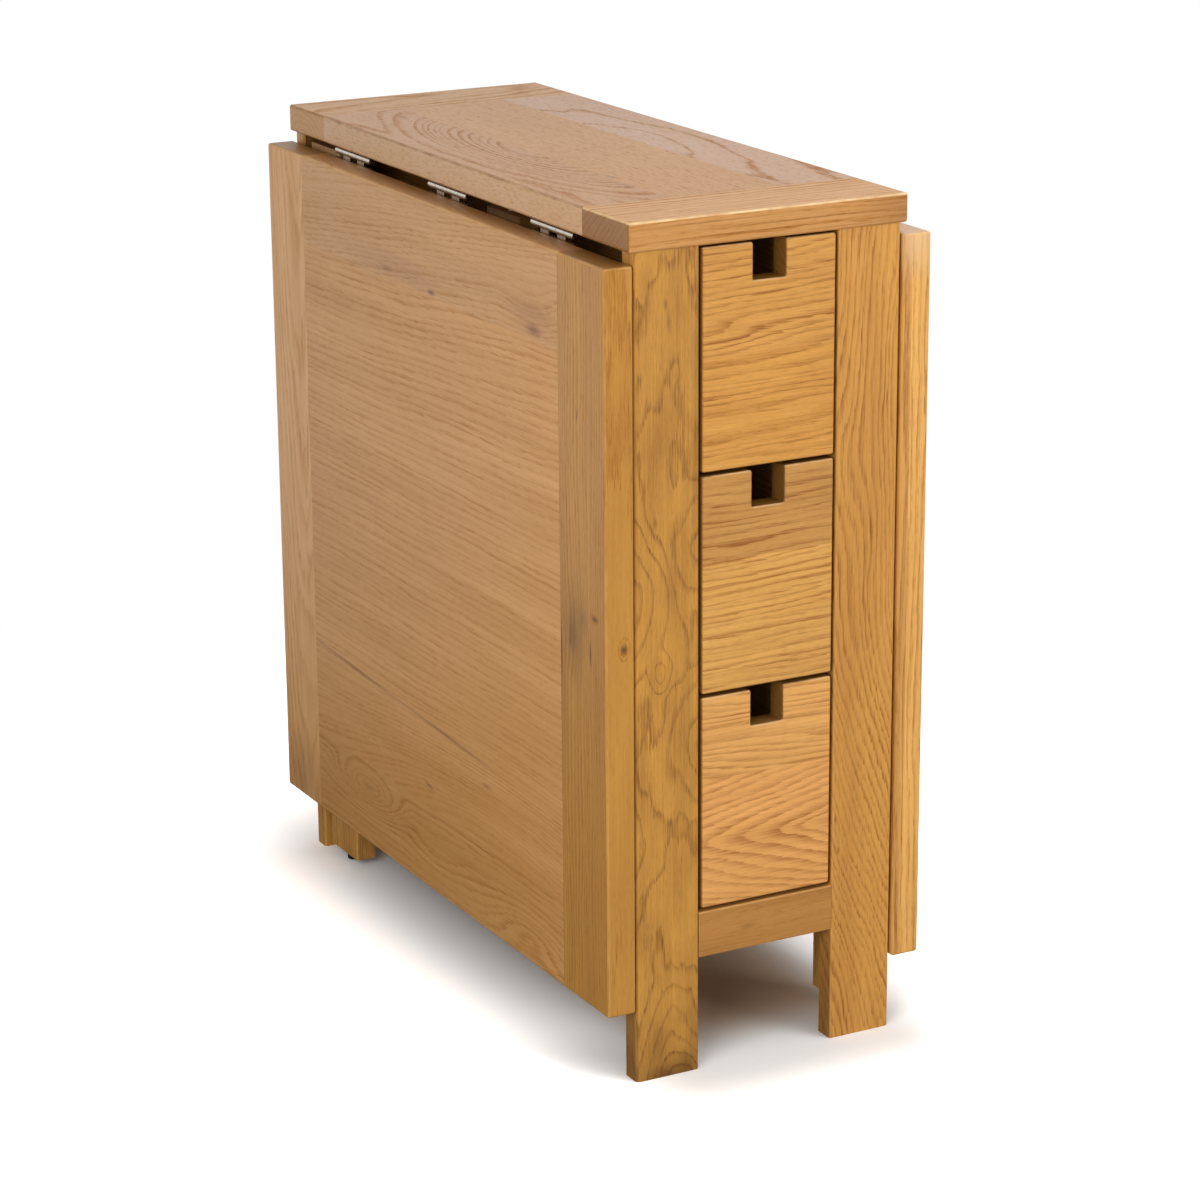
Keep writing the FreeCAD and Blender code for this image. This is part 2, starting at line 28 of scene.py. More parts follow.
# Inputs of a range node: 0 a value, 1 and 2 where it starts and ends, 3 and 4 what it gives there.
# Inputs of a mix node: 0 its factor, 2 and 3 two numbers or 6 and 7 two colours.
MATH = "ShaderNodeMath"
VECTOR = "ShaderNodeVectorMath"
MAPPING = "ShaderNodeMapping"
NOISE = "ShaderNodeTexNoise"
RANGE = "ShaderNodeMapRange"
MIX = "ShaderNodeMix"
BUMP = "ShaderNodeBump"
COORDS = "ShaderNodeTexCoord"
LIGHT_PATH = "ShaderNodeLightPath"
SPLIT = "ShaderNodeSeparateXYZ"
JOIN = "ShaderNodeCombineXYZ"
SHADER = "ShaderNodeBsdfPrincipled"
OUTPUT = "ShaderNodeOutputMaterial"

Colour = tuple[float, float, float, float]
Point = tuple[float, float, float]
Span = tuple[float, float]
Nodes = bpy.types.NodeTree
Socket = bpy.types.NodeSocket

# A log counts as endless along its axis, in millimetres, so its rings never close there.
LOG_LENGTH = 1e6
# Where the log's axis lies for an ordinary board, across and through it, and how that moves with the seed.
HEART_AWAY = (-500.0, -420.0)
HEART_STEP = (-7.0, 5.0)
# Nearly all of a noise texture lies between these values.
NOISE_LOW = 0.3
NOISE_HIGH = 0.7
# A pattern moves by these multiples of its seed along, across and through the board.
SHIFT = (1.0, 1.7, 0.6)
# How squarely a surface faces one way, as a cosine, where each kind begins and where it is full.
END_START = 0.6
END_FULL = 0.95
# A shaded rim is painted shade on a board's rim, where it sits in a gap.
RIM_START = 0.95
RIM_FULL = 0.6
ARRIS_START = 0.995
ARRIS_FULL = 0.93
OUTER_START = 0.2
OUTER_FULL = 0.4
# The painted arris highlight sets in over this much of the upward cosine.
HIGHLIGHT_FADE = 0.3


class Axis(Enum):
    """A direction of the table's frame: across, along and up."""

    X = 0
    Y = 1
    Z = 2


class Side(Enum):
    """Which long side of the table a leaf or gate is on, as its node names say."""

    LEFT = "left"
    RIGHT = "right"


class Level(Enum):
    """The three drawers from the floor up, as their node names say."""

    BOTTOM = "bottom"
    MIDDLE = "middle"
    TOP = "top"


class Pattern(Enum):
    """The random patterns of a board, each with its own shift, so that none lies on another."""

    WAVE = 0.0
    BLOTCH = 1.3
    TORN = 3.1
    DASH = 4.7
    FIBRE = 5.9
    ARRIS_BREAK = 6.1
    PORE = 7.7
    PATCH = 9.3


def linear(code: str) -> Colour:
    """Turns an sRGB hex colour into linear light.

    Args:
        code: the colour as "#RRGGBB".

    Returns:
        Linear red, green and blue, and an alpha of 1.
    """
    parts = [int(code[i:i + 2], 16) / 255 for i in (1, 3, 5)]
    red, green, blue = [p / 12.92 if p <= 0.04045 else ((p + 0.055) / 1.055) ** 2.4 for p in parts]
    return red, green, blue, 1.0


def put(tree: Nodes, kind: str, inputs: dict[Any, Any] | None = None, **settings: Any) -> bpy.types.Node:
    """Adds one node, with its settings and links.

    Args:
        tree: the node tree that takes it.
        kind: Blender's name for the node.
        inputs: by socket name or number, another node's output to link or a constant to set.
        settings: the node's own properties.

    Returns:
        The new node.
    """
    node = tree.nodes.new(kind)
    for name, value in settings.items():
        setattr(node, name, value)
    for key, value in (inputs or {}).items():
        if isinstance(value, Socket):
            tree.links.new(value, node.inputs[key])
        else:
            node.inputs[key].default_value = value
    return node


def blank_material(name: str) -> tuple[bpy.types.Material, Nodes]:
    """Makes a node material with no nodes in it.

    Args:
        name: the material's name.

    Returns:
        The material and its node tree.
    """
    material = bpy.data.materials.new(name)
    material.use_nodes = True
    material.node_tree.nodes.clear()
    return material, material.node_tree


def dress(node: str, material: bpy.types.Material) -> None:
    """Puts a material on every slot of a CAD node.

    Args:
        node: the node's name.
        material: what it is dressed in.
    """
    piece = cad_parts[node]
    if not piece.material_slots:
        piece.data.materials.append(material)
    for place in piece.material_slots:
        place.material = material
    log.info("%s wears %s", node, material.name)


@dataclass(frozen=True)
class Spot:
    """A place on a board, along, across and through it, with half sizes, in millimetres of the table's frame.

    The height is its value in the middle, and the turn swings it in the board's face, in degrees.
    """

    along: float
    across: float
    half_along: float
    half_across: float
    height: float
    turn: float = 0.0
    through: float = 0.0
    half_through: float = 5000.0


class Swell(Spot):
    """A place where the growth rings bulge or dip, as over a knot or an eye. Its height is in rings."""


class Mark(Spot):
    """A mineral streak, smudge, knot heart or bare patch; some marks are painted shade, and one is painted
    light. Its height is how fully it hides the wood.
    """


@dataclass(frozen=True)
class Plank:
    """One plank of a glued board: how it lay in the log, and where it starts across the board.

    The heart is a point of the log's axis, along, across and through the board, in millimetres of the
    table's frame. The ring is one year's growth in millimetres, and the share is how much of it is early
    wood. The lean tips the log's axis into the board and the turn swings it in the board's face, in degrees.
    The first plank of a board starts at the board's edge.
    """

    heart: Point
    ring: float = 4.5
    lean: float = 0.0
    turn: float = 0.0
    late: str = "#DF9F50"
    early: str = "#A8682A"
    share: float = 0.65
    swells: tuple[Swell, ...] = ()
    start: float = 0.0


@dataclass(frozen=True)
class Cut:
    """How a board was sawn and glued: its grain direction, its planks and marks, and its waviness in rings.

    A board with a shaded rim has painted shade on its rim, on all four sides, where it sits in a gap, in
    its finish's end colour, not only at the ends of the grain.
    """

    along: Axis
    across: Axis
    planks: tuple[Plank, ...]
    marks: tuple[Mark, ...] = ()
    wave: float = 0.6
    seed: float = 0.0
    shaded_rim: bool = False


@dataclass(frozen=True)
class WoodFinish:
    """Solid timber, planed along the grain and finished.

    Planing cuts the early wood's vessels open, so the stain collects in short dark dashes along each
    growth ring, and the late wood between stays smooth and golden. Arrises take their own colour: a pale
    one is painted highlight where light catches the edge, and a dark one is a line drawn along it. Only
    those that face upward more than highlight_above, a cosine, take it, and below -1 all do. The tint is how
    strongly more stain darkens red, green and blue, so a thicker coat looks redder. Widths, lengths, sizes
    and the relief are in millimetres.
    """

    name: str
    pore: str
    end: str
    arris_highlight_and_tone: str
    mark: str = "#5A3614"
    tint: Point = (0.74, 1.0, 1.2)
    ring_depth: float = 1.0
    pore_depth: float = 0.45
    end_depth: float = 0.8
    blotch_depth: float = 0.07
    fibre_depth: float = 0.07
    arris_depth: float = 0.35
    highlight_above: float = -2.0
    lacquer_ior: float = 1.5
    roughness: float = 0.38
    dulling: float = 0.1
    pore_dulling: float = 0.2
    wear_dulling: float = 0.12

    # Vessels are about 0.3 mm wide, too fine for a picture of the whole table, so they are drawn wider.
    pore_width: float = 1.0
    pore_length: float = 9.0
    dash_width: float = 1.4
    dash_length: float = 28.0
    fibre_width: float = 1.6
    fibre_length: float = 90.0
    patch_width: float = 35.0
    patch_length: float = 150.0
    blotch_width: float = 60.0
    blotch_length: float = 240.0
    wave_width: float = 45.0
    wave_length: float = 200.0
    arris_break_size: float = 25.0
    relief: float = 0.02
    relief_strength: float = 0.5
    ring_relief: float = 0.3

    # Shares of a ring: how ragged its line is, how soon the early wood sets in and when it starts to fade.
    feather: float = 0.15
    onset: float = 0.08
    fade_start: float = 0.05
    # Spells of lean and fat years: how many there are in a ring, and by how many rings they move its line.
    spell_rate: float = 0.3
    spell_drift: float = 1.6
    # How strong the early wood of the faintest year is, and the pores in late wood.
    faintest_year: float = 0.45
    late_pores: float = 0.3

    # The low and the high strength of each pattern.
    arris_break_span: Span = (0.2, 1.2)
    patch_span: Span = (0.6, 1.2)
    dash_span: Span = (0.4, 1.35)
    pore_span: Span = (-1.1, 1.1)

    def material(self, board: str, cut: Cut) -> bpy.types.Material:
        """Makes the material of one board.

        Args:
            board: the board's name, for the material's name.
            cut: how the board was sawn.

        Returns:
            The finished material.
        """
        material, tree = blank_material(f"{self.name}_{board}")
        grain, ends, arris = self.board_frame(tree, cut)
        years, late, early, share = self.growth(tree, cut, grain)
        dark = self.early_wood(tree, cut, grain, years, share)
        pores = self.pores(tree, cut, grain, dark)
        wood = put(tree, MIX, {0: dark, 6: late, 7: early}, data_type="RGBA").outputs[2]
        wood = self.stain(tree, cut, grain, wood, (
            (pores, self.pore_depth, self.pore),
            (ends, self.end_depth, self.end),
            (arris, self.arris_depth, self.arris_highlight_and_tone)))
        self.lacquer(tree, wood, dark, pores, arris)
        return material

    def board_frame(self, tree: Nodes, cut: Cut) -> tuple[Socket, ...]:
        """Turns object space into millimetres along, across and through the board.

        Args:
            tree: the material's nodes.
            cut: how the board was sawn.

        Returns:
            The point in the board's own directions, where end grain or a rim in painted shade shows, and
            where an arris takes its own colour. On a board with a shaded rim, one between two sides of the
            rim does not.
        """
        coords = put(tree, COORDS)
        millimetres = put(tree, VECTOR, {0: coords.outputs["Object"], "Scale": 1 / MM}, operation="SCALE")
        parts = put(tree, SPLIT, {0: millimetres.outputs[0]}).outputs
        through = next(a for a in Axis if a not in (cut.along, cut.across))
        grain = put(tree, JOIN, {number: parts[axis.value]
                                 for number, axis in enumerate((cut.along, cut.across, through))}).outputs[0]
        upward = put(tree, SPLIT, {0: coords.outputs["Normal"]}).outputs[2]
        facing = put(tree, VECTOR, {0: coords.outputs["Normal"]}, operation="ABSOLUTE")
        facing = put(tree, SPLIT, {0: facing.outputs[0]}).outputs
        turned = {0: facing[cut.along.value], 1: END_START, 2: END_FULL}
        if cut.shaded_rim:
            turned = {0: facing[through.value], 1: RIM_START, 2: RIM_FULL}
        ends = put(tree, RANGE, turned).outputs[0]
        most = put(tree, MATH, {0: facing[0], 1: facing[1]}, operation="MAXIMUM").outputs[0]
        most = put(tree, MATH, {0: most, 1: facing[2]}, operation="MAXIMUM").outputs[0]
        arris = put(tree, RANGE, {0: most, 1: ARRIS_START, 2: ARRIS_FULL}).outputs[0]
        arris_break = (self.arris_break_size, self.arris_break_size)
        wear = [self.noise(tree, cut, grain, Pattern.ARRIS_BREAK, arris_break, self.arris_break_span)]
        reached = {0: upward, 1: self.highlight_above, 2: self.highlight_above + HIGHLIGHT_FADE}
        wear.append(put(tree, RANGE, reached).outputs[0])
        if cut.shaded_rim:
            outer = {0: facing[through.value], 1: OUTER_START, 2: OUTER_FULL}
            wear.append(put(tree, RANGE, outer).outputs[0])
        for factor in wear:
            arris = put(tree, MATH, {0: arris, 1: factor}, operation="MULTIPLY", use_clamp=True).outputs[0]
        return grain, ends, arris

    def noise(self, tree: Nodes, cut: Cut, grain: Socket, pattern: Pattern, size: Span, span: Span,
              detail: float = 2.0) -> Socket:
        """Lays a random pattern over the board.

        Args:
            tree: the material's nodes.
            cut: how the board was sawn. Its seed moves the pattern, so that no two boards match.
            grain: the point in the board's own directions.
            pattern: which pattern it is.
            size: its size along the grain and across it, in millimetres.
            span: the values of its low and its high places.
            detail: how many finer octaves it has.

        Returns:
            The pattern.
        """
        shift = cut.seed + pattern.value
        along, across = size
        low, high = span
        place = put(tree, MAPPING, {0: grain, "Location": tuple(part * shift for part in SHIFT),
                                    "Scale": (1 / along, 1 / across, 1 / across)})
        texture = put(tree, NOISE, {"Vector": place.outputs[0], "Scale": 1.0, "Detail": detail})
        spread = {0: texture.outputs[0], 1: NOISE_LOW, 2: NOISE_HIGH, 3: low, 4: high}
        return put(tree, RANGE, spread, clamp=False).outputs[0]

    def mound(self, tree: Nodes, grain: Socket, spot: Spot) -> Socket:
        """Lays a smooth mound over the board, of the spot's height in the middle and none at its edge.

        Args:
            tree: the material's nodes.
            grain: the point in the board's own directions.
            spot: where it is, how large and how high.

        Returns:
            The mound's value.
        """
        place = put(tree, MAPPING, {0: grain, "Location": (spot.along, spot.across, spot.through),
                                    "Rotation": (0.0, 0.0, math.radians(spot.turn)),
                                    "Scale": (spot.half_along, spot.half_across, spot.half_through)},
                    vector_type="TEXTURE")
        away = put(tree, VECTOR, {0: place.outputs[0]}, operation="LENGTH").outputs["Value"]
        return put(tree, RANGE, {0: away, 3: spot.height, 4: 0.0}, interpolation_type="SMOOTHSTEP").outputs[0]

    def growth(self, tree: Nodes, cut: Cut, grain: Socket) -> tuple[Any, ...]:
        """Works out in which year of the log's life each point of the board grew.

        Args:
            tree: the material's nodes.
            cut: how the board was sawn.
            grain: the point in the board's own directions.

        Returns:
            The year, the late and the early wood's colour there, and the early wood's share of the ring.
        """
        across = put(tree, SPLIT, {0: grain}).outputs[1]
        years, late, early, share = (None, None, None, None)
        for number, plank in enumerate(cut.planks):
            place = put(tree, MAPPING, {0: grain, "Location": plank.heart,
                                        "Rotation": (0.0, math.radians(plank.lean), math.radians(plank.turn)),
                                        "Scale": (LOG_LENGTH, plank.ring, plank.ring)}, vector_type="TEXTURE")
            year = put(tree, VECTOR, {0: place.outputs[0]}, operation="LENGTH").outputs["Value"]
            for swell in plank.swells:
                bulge = self.mound(tree, grain, swell)
                year = put(tree, MATH, {0: year, 1: bulge}, operation="ADD").outputs[0]
            if number == 0:
                years, late, early, share = year, linear(plank.late), linear(plank.early), plank.share
                continue
            past = put(tree, MATH, {0: across, 1: plank.start}, operation="GREATER_THAN").outputs[0]
            years = put(tree, MIX, {0: past, 2: years, 3: year}).outputs[0]
            late = put(tree, MIX, {0: past, 6: late, 7: linear(plank.late)}, data_type="RGBA").outputs[2]
            early = put(tree, MIX, {0: past, 6: early, 7: linear(plank.early)}, data_type="RGBA").outputs[2]
            share = put(tree, MIX, {0: past, 2: share, 3: plank.share}).outputs[0]
        wave_size = (self.wave_length, self.wave_width)
        dash_size = (self.dash_length, self.dash_width)
        slow = self.noise(tree, cut, grain, Pattern.WAVE, wave_size, (-cut.wave, cut.wave))
        torn = self.noise(tree, cut, grain, Pattern.TORN, dash_size, (-self.feather, self.feather), 1.0)
        for drift in (slow, torn):
            years = put(tree, MATH, {0: years, 1: drift}, operation="ADD").outputs[0]
        spell = {"W": years, "Scale": self.spell_rate, "Detail": 1.0}
        spells = put(tree, NOISE, spell, noise_dimensions="1D")
        drifted = {0: spells.outputs[0], 1: self.spell_drift, 2: years}
        years = put(tree, MATH, drifted, operation="MULTIPLY_ADD").outputs[0]
        return years, late, early, share

    def early_wood(self, tree: Nodes, cut: Cut, grain: Socket, years: Socket, share: Any) -> Socket:
        """Draws each year's early wood: a dark dashed start that fades into the late wood.

        Args:
            tree: the material's nodes.
            cut: how the board was sawn.
            grain: the point in the board's own directions.
            years: the year in which each point grew.
            share: the early wood's share of the ring.

        Returns:
            How much of the early wood's colour there is, from 0 to 1.
        """
        part = put(tree, MATH, {0: years}, operation="FRACT").outputs[0]
        onset = put(tree, RANGE, {0: part, 2: self.onset}).outputs[0]
        fading = {0: part, 1: self.fade_start, 2: share, 3: 1.0, 4: 0.0}
        fade = put(tree, RANGE, fading, interpolation_type="SMOOTHSTEP").outputs[0]
        number = put(tree, MATH, {0: years}, operation="FLOOR").outputs[0]
        season = put(tree, "ShaderNodeTexWhiteNoise", {"W": number}, noise_dimensions="1D").outputs[0]
        season = put(tree, RANGE, {0: season, 3: self.faintest_year}).outputs[0]
        patch_size = (self.patch_length, self.patch_width)
        dash_size = (self.dash_length, self.dash_width)
        patch = self.noise(tree, cut, grain, Pattern.PATCH, patch_size, self.patch_span)
        dash = self.noise(tree, cut, grain, Pattern.DASH, dash_size, self.dash_span, 1.0)
        dark: Any = self.ring_depth
        for factor in (onset, fade, season, patch, dash):
            dark = put(tree, MATH, {0: dark, 1: factor}, operation="MULTIPLY").outputs[0]
        return put(tree, RANGE, {0: dark}).outputs[0]

    def pores(self, tree: Nodes, cut: Cut, grain: Socket, dark: Socket) -> Socket:
        """Draws the open vessels, thickest in the early wood.

        Args:
            tree: the material's nodes.
            cut: how the board was sawn.
            grain: the point in the board's own directions.
            dark: how much early wood there is.

        Returns:
            Where a pore is, from 0 to 1.
        """
        pore_size = (self.pore_length, self.pore_width)
        dash = self.noise(tree, cut, grain, Pattern.PORE, pore_size, self.pore_span, 1.0)
        spread = {0: dark, 1: 1.0 - self.late_pores, 2: self.late_pores}
        amount = put(tree, MATH, spread, operation="MULTIPLY_ADD").outputs[0]
        return put(tree, MATH, {0: dash, 1: amount}, operation="MULTIPLY", use_clamp=True).outputs[0]

    def stain(self, tree: Nodes, cut: Cut, grain: Socket, wood: Socket,
              layers: tuple[tuple[Socket, float, str], ...]) -> Socket:
        """Lays the stain: uneven over the wood, and its own in pores, marks, end grain and arrises.

        Args:
            tree: the material's nodes.
            cut: how the board was sawn.
            grain: the point in the board's own directions.
            wood: the bare wood's colour.
            layers: the pores, the end grain and the arrises, each with its strength and its colour.

        Returns:
            The colour.
        """
        blotch_size = (self.blotch_length, self.blotch_width)
        fibre_size = (self.fibre_length, self.fibre_width)
        blotch_span = (-self.blotch_depth, self.blotch_depth)
        fibre_span = (-self.fibre_depth, self.fibre_depth)
        blotch = self.noise(tree, cut, grain, Pattern.BLOTCH, blotch_size, blotch_span)
        fibre = self.noise(tree, cut, grain, Pattern.FIBRE, fibre_size, fibre_span)
        level = put(tree, MATH, {0: blotch, 1: fibre}, operation="ADD").outputs[0]
        tinted = {0: level, 1: self.tint, 2: (1.0, 1.0, 1.0)}
        level = put(tree, VECTOR, tinted, operation="MULTIPLY_ADD").outputs[0]
        wood = put(tree, VECTOR, {0: wood, 1: level}, operation="MULTIPLY").outputs[0]
        marks = tuple((self.mound(tree, grain, mark), 1.0, self.mark) for mark in cut.marks)
        for mask, depth, code in layers[:1] + marks + layers[1:]:
            amount = put(tree, MATH, {0: mask, 1: depth}, operation="MULTIPLY", use_clamp=True).outputs[0]
            wood = put(tree, MIX, {0: amount, 6: wood, 7: linear(code)}, data_type="RGBA").outputs[2]
        return wood

    def lacquer(self, tree: Nodes, colour: Socket, dark: Socket, pores: Socket, arris: Socket) -> None:
        """Finishes the board: a sheen, duller in early wood, pores and on arrises, and a shallow relief.

        Args:
            tree: the material's nodes.
            colour: the stained wood.
            dark: how much early wood there is.
            pores: where a pore is.
            arris: where an arris takes its own colour, a painted highlight where it is pale.
        """
        depth = put(tree, MATH, {0: dark, 1: self.ring_relief, 2: pores}, operation="MULTIPLY_ADD").outputs[0]
        bump = put(tree, BUMP, {"Height": depth, "Strength": self.relief_strength,
                                "Distance": self.relief * MM}, invert=True)
        dull: Any = self.roughness
        for mask, more in ((pores, self.pore_dulling), (dark, self.dulling), (arris, self.wear_dulling)):
            dull = put(tree, MATH, {0: mask, 1: more, 2: dull}, operation="MULTIPLY_ADD").outputs[0]
        shader = put(tree, SHADER, {"Base Color": colour, "Roughness": dull, "IOR": self.lacquer_ior,
                                    "Normal": bump.outputs[0]})
        put(tree, OUTPUT, {"Surface": shader.outputs[0]})


# Oak stained honey and sprayed with satin lacquer: golden, with dark dashed rings and a soft sheen.
HONEY = WoodFinish("satin_lacquered_oak", pore="#8C4E18", end="#8A5C2B", arris_highlight_and_tone="#E8B46A",
                   blotch_depth=0.11, blotch_width=32.0)
# Crown-cut oak: wide early wood, so the dashes stand out strongest here. Its upper arrises carry a painted
# highlight, and its end colour is painted shade on its rim, in the gaps round the drawer and in its notch.
CROWN = WoodFinish("satin_lacquered_crown_cut_oak", pore="#96541C", end="#5E3C10", arris_highlight_and_tone="#F2C88C",
                   pore_depth=0.5, arris_depth=0.55, highlight_above=0.3, dash_length=36.0,
                   blotch_depth=0.1, blotch_width=28.0, blotch_length=160.0)
# The bottom drawer front, cut widest of its rings: broad soft bands, and few open vessels.
BROAD = replace(CROWN, name="satin_lacquered_broad_ringed_oak", feather=0.08, dash_length=70.0,
                pore_depth=0.35)
# The top's front board: the same oak, its upper arris pale with a painted highlight.
HIGHLIT_ARRIS = WoodFinish("satin_lacquered_oak_rubbed_arris", pore="#9C5C18", end="#80521F", arris_highlight_and_tone="#F8D7A2",
                    mark="#6E3A00", tint=(0.57, 1.0, 2.6), arris_depth=0.9, highlight_above=0.2, dulling=0.2)
# Oak from beside a knot: swirling rings as thin lines, and cloudy stain.
SWIRLED = WoodFinish("satin_lacquered_swirled_oak", pore="#5E3C18", end="#805526", arris_highlight_and_tone="#DDA650",
                     tint=(0.85, 1.0, 0.95), arris_depth=0.12, pore_depth=0.5, fibre_depth=0.1, feather=0.05,
                     dash_length=32.0, blotch_depth=0.19, blotch_width=24.0, blotch_length=80.0,
                     wave_width=30.0, wave_length=85.0)
# Wide glued panels: the same oak in long boards, with fainter pores and long soft bands of stain.
PANEL = WoodFinish("satin_lacquered_oak_panel", pore="#9A5E1C", end="#8A5C2B", arris_highlight_and_tone="#E4B26C", mark="#662800",
                   tint=(0.67, 1.0, 2.0), pore_depth=0.25, dash_length=32.0,
                   blotch_depth=0.11, blotch_width=26.0, blotch_length=420.0)
# The top, sanded finest: short flecked pores, smooth thin rings, a darker line drawn along its arrises,
# and end grain pale with painted sheen.
TOP = WoodFinish("satin_lacquered_flecked_oak", pore="#A8681A", end="#CC9C62", arris_highlight_and_tone="#8A5E34",
                 tint=(0.57, 1.0, 2.6), pore_depth=0.9, pore_width=1.8, pore_length=8.0, fibre_length=22.0,
                 fibre_depth=0.06, feather=0.05, dash_length=18.0, arris_depth=0.6, dulling=0.25)
# The gate leg's head, in the gap under the top: the same oak drawn grey and dull.
GREY_HEADED = replace(HONEY, name="satin_lacquered_oak_grey_head", mark="#84715F", roughness=0.5)
# The pivot stile's head, in the gap under the top: painted shade, almost black.
SHADED_STILE_HEAD = replace(HONEY, name="oak_with_painted_shade", mark="#1C0F02", roughness=0.7, arris_depth=0.0)
# The far leaf's front board: the same oak, its end grain pale and pinkish and its head pale, as painted
# light from above.
PAINTED_LIGHT_END = replace(HONEY, name="satin_lacquered_oak_painted_lit_end", end="#E6BE96", mark="#EAC596")
# Oak inside the base, stained but not lacquered: darker and dull.
INSIDE = WoodFinish("stained_bare_oak", pore="#4E3014", end="#5E3E1C", arris_highlight_and_tone="#8A5E30",
                    roughness=0.6, arris_depth=0.15)
# Planed pine without stain or lacquer: pale, soft-edged rings and hardly any pores.
PINE = WoodFinish("planed_bare_pine", pore="#A8783F", end="#B78A52", arris_highlight_and_tone="#E6C690",
                  ring_depth=0.7, pore_depth=0.1, roughness=0.6, feather=0.04)
# Turned beech pegs: pale pinkish wood with fine short flecks.
BEECH = WoodFinish("turned_beech", pore="#8E5E36", end="#A87C50", arris_highlight_and_tone="#DDB78A",
                   ring_depth=0.4, pore_length=3.0, roughness=0.55)


@dataclass(frozen=True)
class PlainFinish:
    """A metal or plastic with a fine random surface, from moulding, plating or turning."""

    name: str
    base: str
    shade: str
    metallic: float
    roughness: float
    # The real grain is a few hundredths of a millimetre, too fine to show, so it is drawn coarser.
    grit: float = 1.2
    grit_detail: float = 3.0
    unevenness: float = 0.06
    relief: float = 0.02
    relief_strength: float = 0.25

    def material(self) -> bpy.types.Material:
        """Makes the material.

        Returns:
            The finished material.
        """
        material, tree = blank_material(self.name)
        coords = put(tree, COORDS)
        grit = put(tree, NOISE, {"Vector": coords.outputs["Object"], "Scale": 1 / (self.grit * MM),
                                 "Detail": self.grit_detail}).outputs[0]
        colour = put(tree, MIX, {0: grit, 6: linear(self.base), 7: linear(self.shade)}, data_type="RGBA")
        dull = put(tree, RANGE, {0: grit, 1: NOISE_LOW, 2: NOISE_HIGH, 3: self.roughness - self.unevenness,
                                 4: self.roughness + self.unevenness})
        bump = put(tree, BUMP, {"Height": grit, "Strength": self.relief_strength,
                                "Distance": self.relief * MM})
        shader = put(tree, SHADER, {"Base Color": colour.outputs[2], "Roughness": dull.outputs[0],
                                    "Metallic": self.metallic, "Normal": bump.outputs[0]})
        put(tree, OUTPUT, {"Surface": shader.outputs[0]})
        return material


# Steel plated with nickel: a warm, bright grey with soft reflections.
NICKEL = PlainFinish("nickel_plated_steel", base="#D8D2C6", shade="#B9B2A6", metallic=1.0, roughness=0.27)
# Bright steel turned on a lathe: a neutral grey, a little duller.
STEEL = PlainFinish("turned_bright_steel", base="#BFBFBC", shade="#9C9C99", metallic=1.0, roughness=0.3)
# Moulded nylon: milky white with a dull sheen.
NYLON = PlainFinish("moulded_nylon", base="#E6E1D4", shade="#D8D2C2", metallic=0.0, roughness=0.45)
# Moulded black polypropylene: near black, and finely textured by its mould.
GLIDE = PlainFinish("moulded_black_polypropylene", base="#17171A", shade="#0E0E10", metallic=0.0,
                    roughness=0.5)


def straight(along: Axis, across: Axis, seed: float, late: str = "#D2984A", early: str = "#A46C2E") -> Cut:
    """How an ordinary straight-grained board is sawn.

    Args:
        along: the grain's direction.
        across: the board's width.
        seed: moves its pattern.
        late: the late wood's colour.
        early: the early wood's colour.

    Returns:
        The board's cut.
    """
    aside, below = [away + step * seed for away, step in zip(HEART_AWAY, HEART_STEP)]
    return Cut(along, across, (Plank((0.0, aside, below), late=late, early=early),), seed=seed)


@dataclass
class FixedTop:
    """The fixed top: a panel of glued planks between two end boards that run across it."""

    panel: Cut = Cut(
        Axis.Y, Axis.X, wave=0.3, seed=2.2, planks=(
            # The first plank is only the panel's left side face: pale with painted sheen.
            Plank((0, -900, 700), 3.5, late="#DBAF83", early="#CFA171", share=0.12),
            Plank((0, -60, 350), 9.0, start=-131.3, late="#CE945B", early="#AF6C28", share=0.5,
                  swells=(Swell(0, -50, 300, 84, 14.5),)),
            Plank((0, -420, 620), 5.0, start=-52.0, late="#D39652", early="#CE904D", share=0.2),
            Plank((0, 57, 430), 400.0, start=57.0, late="#D6A57E", early="#B57734", share=0.22,
                  swells=(Swell(-8, 58, 255, 72, 2.2),))),
        marks=(Mark(-150, -48, 16, 4, 0.5), Mark(-197, -56, 24, 8, 0.3), Mark(215, -70, 12, 3.5, 0.5)))
    front_end: Cut = Cut(
        Axis.X, Axis.Y, seed=11.0, planks=(Plank((0, -500, 500), 4.6, late="#E3A65F", early="#C78237"),),
        marks=(Mark(0, -339, 3000, 3, 0.33), Mark(-60, -339, 90, 3, 0.4, 0.0, 744, 1.0),
               Mark(30, -339, 120, 3, 0.45, 0.0, 738, 1.2), Mark(-20, -339, 130, 3, 0.4, 0.0, 732.5, 1.0),
               Mark(70, -339, 70, 3, 0.35, 0.0, 728.5, 0.9), Mark(128, -339, 60, 3, 0.3)))
    rear_end: Cut = Cut(
        Axis.X, Axis.Y, seed=12.0,
        planks=(Plank((-90, 310, 690), 6.0, lean=3.0, late="#DA9F5D", early="#C07E38"),))

    def dress(self) -> None:
        """Dresses the panel and its end boards."""
        dress("top_panel", TOP.material("top_panel", self.panel))
        dress("top_end_front", HIGHLIT_ARRIS.material("top_end_front", self.front_end))
        dress("top_end_rear", TOP.material("top_end_rear", self.rear_end))


